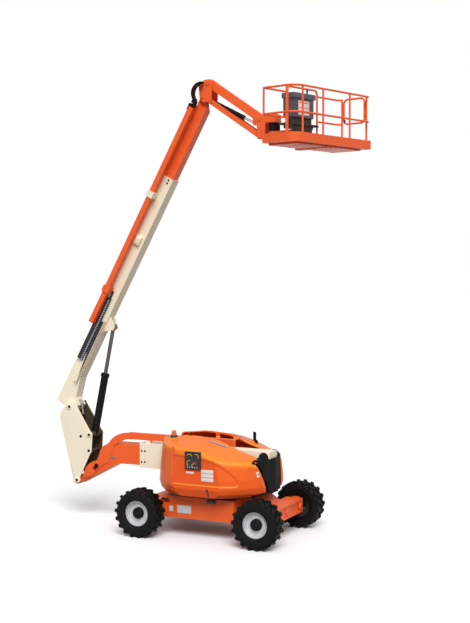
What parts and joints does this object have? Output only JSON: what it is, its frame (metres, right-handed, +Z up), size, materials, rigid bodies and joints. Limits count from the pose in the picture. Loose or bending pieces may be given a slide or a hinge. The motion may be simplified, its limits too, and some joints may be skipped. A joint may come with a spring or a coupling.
{
  "type": "articulating boom lift",
  "caption": "Self-propelled aerial work platform: wheeled chassis with slewing turntable, telescoping tower boom, levelled upright, telescopic main boom, jib and railed basket.",
  "frame": {"origin": "on the ground, under the swing axis, midway between the axles on the chassis centre plane", "axes": "+X towards the steered axle and the counterweight end, +Y towards the far side of the picture, +Z up"},
  "size_m": [6.4879, 2.65, 8.7596],
  "materials": {
    "orange_paint": "gloss enamel",
    "cream_paint": "satin enamel",
    "dark_paint": "satin black-brown enamel",
    "black_paint": "satin black enamel",
    "chrome_rod": "hard chrome",
    "wheel_silver": "silver enamel",
    "tyre_rubber": "matt rubber",
    "engine_grey": "painted casting",
    "grey_plastic": "moulded, satin",
    "black_plastic": "moulded, matt",
    "amber_lens": "clear tinted"
  },
  "bodies": {
    "chassis": {"chassis_frame": "orange_paint", "front_axle": "orange_paint", "rear_axle": "orange_paint", "swing_ring": "black_paint"},
    "knuckle_near": {"knuckle_near": "black_paint"},
    "knuckle_far": {"knuckle_far": "black_paint"},
    "wheel_front_near": {"tyre_front_near": "tyre_rubber", "rim_front_near": "wheel_silver"},
    "wheel_front_far": {"tyre_front_far": "tyre_rubber", "rim_front_far": "wheel_silver"},
    "wheel_rear_near": {"tyre_rear_near": "tyre_rubber", "rim_rear_near": "wheel_silver"},
    "wheel_rear_far": {"tyre_rear_far": "tyre_rubber", "rim_rear_far": "wheel_silver"},
    "turntable": {"turntable_frame": "dark_paint", "counterweight": "dark_paint", "corner_near": "orange_paint", "corner_far": "orange_paint", "engine_block": "engine_grey", "beacon": "amber_lens"},
    "hood_near": {"hood_near": "orange_paint", "control_panel": "black_plastic"},
    "hood_far": {"hood_far": "orange_paint", "exhaust": "black_paint"},
    "tower_base": {"tower_base": "cream_paint"},
    "tower_fly": {"tower_fly": "orange_paint"},
    "tower_barrel": {"tower_barrel": "black_paint"},
    "tower_rod": {"tower_rod": "chrome_rod"},
    "upright": {"upright": "cream_paint"},
    "main_base": {"main_base": "cream_paint", "hose_carrier": "black_plastic"},
    "main_fly": {"main_fly": "orange_paint"},
    "lift_barrel": {"lift_barrel": "black_paint"},
    "lift_rod": {"lift_rod": "chrome_rod"},
    "master_barrel": {"master_barrel": "black_paint"},
    "master_rod": {"master_rod": "chrome_rod"},
    "jib_head": {"jib_head": "orange_paint"},
    "jib_boom": {"jib_boom": "orange_paint"},
    "jib_links": {"jib_links": "orange_paint"},
    "jib_barrel": {"jib_barrel": "black_paint"},
    "jib_rod": {"jib_rod": "chrome_rod"},
    "jib_bracket": {"jib_bracket": "orange_paint", "turn_actuator": "black_paint"},
    "platform": {"platform_mount": "orange_paint", "platform_floor": "orange_paint", "platform_rails": "orange_paint", "console": "grey_plastic"},
    "gate": {"gate": "orange_paint"}
  },
  "joints": [
    {"name": "swing", "type": "hinge", "parent": "chassis", "child": "turntable", "pos_m": [0, 0, 0.845], "axis": [0, 0, 1], "continuous": true},
    {"name": "steer_near", "type": "hinge", "parent": "chassis", "child": "knuckle_near", "pos_m": [1.23, -0.8, 0.461], "axis": [0, 0, 1], "range_deg": [-34, 34]},
    {"name": "roll_front_near", "type": "hinge", "parent": "knuckle_near", "child": "wheel_front_near", "pos_m": [1.23, -1.045, 0.461], "axis": [0, 1, 0], "continuous": true},
    {"name": "roll_rear_near", "type": "hinge", "parent": "chassis", "child": "wheel_rear_near", "pos_m": [-1.23, -1.045, 0.461], "axis": [0, 1, 0], "continuous": true},
    {"name": "steer_far", "type": "hinge", "parent": "chassis", "child": "knuckle_far", "pos_m": [1.23, 0.8, 0.461], "axis": [0, 0, 1], "range_deg": [-34.5, 34.5]},
    {"name": "roll_front_far", "type": "hinge", "parent": "knuckle_far", "child": "wheel_front_far", "pos_m": [1.23, 1.045, 0.461], "axis": [0, 1, 0], "continuous": true},
    {"name": "roll_rear_far", "type": "hinge", "parent": "chassis", "child": "wheel_rear_far", "pos_m": [-1.23, 1.045, 0.461], "axis": [0, 1, 0], "continuous": true},
    {"name": "hood_near_open", "type": "hinge", "parent": "turntable", "child": "hood_near", "pos_m": [0, -0.36, 1.765], "axis": [-1, 0, 0], "range_deg": [0, 55]},
    {"name": "hood_far_open", "type": "hinge", "parent": "turntable", "child": "hood_far", "pos_m": [0, 0.36, 1.765], "axis": [1, 0, 0], "range_deg": [0, 55]},
    {"name": "tower_lift", "type": "hinge", "parent": "turntable", "child": "tower_base", "pos_m": [1, 0, 1.55], "axis": [0, 1, 0], "range_deg": [0, 68]},
    {"name": "tower_telescope", "type": "slide", "parent": "tower_base", "child": "tower_fly", "axis": [-1, 0, 0], "range_m": [0, 1.5]},
    {"name": "upright_level", "type": "hinge", "parent": "tower_fly", "child": "upright", "pos_m": [-3.1757, 0, 0.8006], "axis": [0, 1, 0], "range_deg": [-68.5, 0.5]},
    {"name": "tower_cylinder_swing", "type": "hinge", "parent": "turntable", "child": "tower_barrel", "pos_m": [0.7, 0, 1], "axis": [0, 1, 0], "range_deg": [-0.5, 65.1]},
    {"name": "tower_cylinder_slide", "type": "slide", "parent": "tower_barrel", "child": "tower_rod", "axis": [-0.9971, 0, 0.0758], "range_m": [-0.002, 0.726]},
    {"name": "main_lift", "type": "hinge", "parent": "upright", "child": "main_base", "pos_m": [-3.3515, 0, 2.294], "axis": [0, -1, 0], "range_deg": [-64, 13.6]},
    {"name": "main_telescope", "type": "slide", "parent": "main_base", "child": "main_fly", "axis": [0.4787, 0, 0.878], "range_m": [-1.2, 2.2]},
    {"name": "lift_cylinder_swing", "type": "hinge", "parent": "upright", "child": "lift_barrel", "pos_m": [-2.873, 0, 1.746], "axis": [0, -1, 0], "range_deg": [-58.74, 12.88]},
    {"name": "lift_cylinder_slide", "type": "slide", "parent": "lift_barrel", "child": "lift_rod", "axis": [0.2015, 0, 0.9795], "range_m": [-0.7616, 0.1634]},
    {"name": "master_cylinder_swing", "type": "hinge", "parent": "upright", "child": "master_barrel", "pos_m": [-3.078, 0, 1.7025], "axis": [0, -1, 0], "range_deg": [-1.18, 3.7]},
    {"name": "master_cylinder_slide", "type": "slide", "parent": "master_barrel", "child": "master_rod", "axis": [-0.1753, 0, 0.9845], "range_m": [-0.1807, 0.04]},
    {"name": "jib_head_level", "type": "hinge", "parent": "main_fly", "child": "jib_head", "pos_m": [-0.35022, 0, 8.42545], "axis": [0, -1, 0], "range_deg": [-14.1, 64.5]},
    {"name": "jib_lift", "type": "hinge", "parent": "jib_head", "child": "jib_boom", "pos_m": [-0.219, 0, 8.677], "axis": [0, -1, 0], "range_deg": [-25.6, 104.4]},
    {"name": "jib_link_swing", "type": "hinge", "parent": "jib_head", "child": "jib_links", "pos_m": [-0.219, 0, 8.349], "axis": [0, -1, 0], "range_deg": [-26.1, 104.9]},
    {"name": "jib_cylinder_swing", "type": "hinge", "parent": "jib_head", "child": "jib_barrel", "pos_m": [-0.219, 0, 8.349], "axis": [0, -1, 0], "range_deg": [-25.08, 100.72]},
    {"name": "jib_cylinder_slide", "type": "slide", "parent": "jib_barrel", "child": "jib_rod", "axis": [0.8906, 0, -0.4549], "range_m": [-0.1182, 0.4758]},
    {"name": "platform_level", "type": "hinge", "parent": "jib_boom", "child": "jib_bracket", "pos_m": [0.86685, 0, 7.9335], "axis": [0, -1, 0], "range_deg": [-104.9, 26.1]},
    {"name": "platform_turn", "type": "hinge", "parent": "jib_bracket", "child": "platform", "pos_m": [1.108, 0, 7.7], "axis": [0, 0, 1], "range_deg": [-73.66, 106.34]},
    {"name": "gate_open", "type": "hinge", "parent": "platform", "child": "gate", "pos_m": [2.68834, 0.696, 7.8], "axis": [0, 0, 1], "range_deg": [0, 90]}
  ],
  "couplings": [
    {"joint": "steer_far", "follows": "steer_near", "ratio": 1},
    {"joint": "upright_level", "follows": "tower_lift", "ratio": -1},
    {"joint": "tower_cylinder_swing", "follows": "tower_lift", "ratio": 0.95},
    {"joint": "tower_cylinder_slide", "follows": "tower_lift", "m_per_rad": 0.61},
    {"joint": "lift_cylinder_swing", "follows": "main_lift", "ratio": 0.91},
    {"joint": "lift_cylinder_slide", "follows": "main_lift", "m_per_rad": 0.68},
    {"joint": "master_cylinder_swing", "follows": "main_lift", "ratio": -0.05},
    {"joint": "master_cylinder_slide", "follows": "main_lift", "m_per_rad": 0.16},
    {"joint": "jib_head_level", "follows": "main_lift", "ratio": -1},
    {"joint": "jib_link_swing", "follows": "jib_lift", "ratio": 1},
    {"joint": "jib_cylinder_swing", "follows": "jib_lift", "ratio": 0.96},
    {"joint": "jib_cylinder_slide", "follows": "jib_lift", "m_per_rad": 0.26},
    {"joint": "platform_level", "follows": "jib_lift", "ratio": -1}
  ]
}
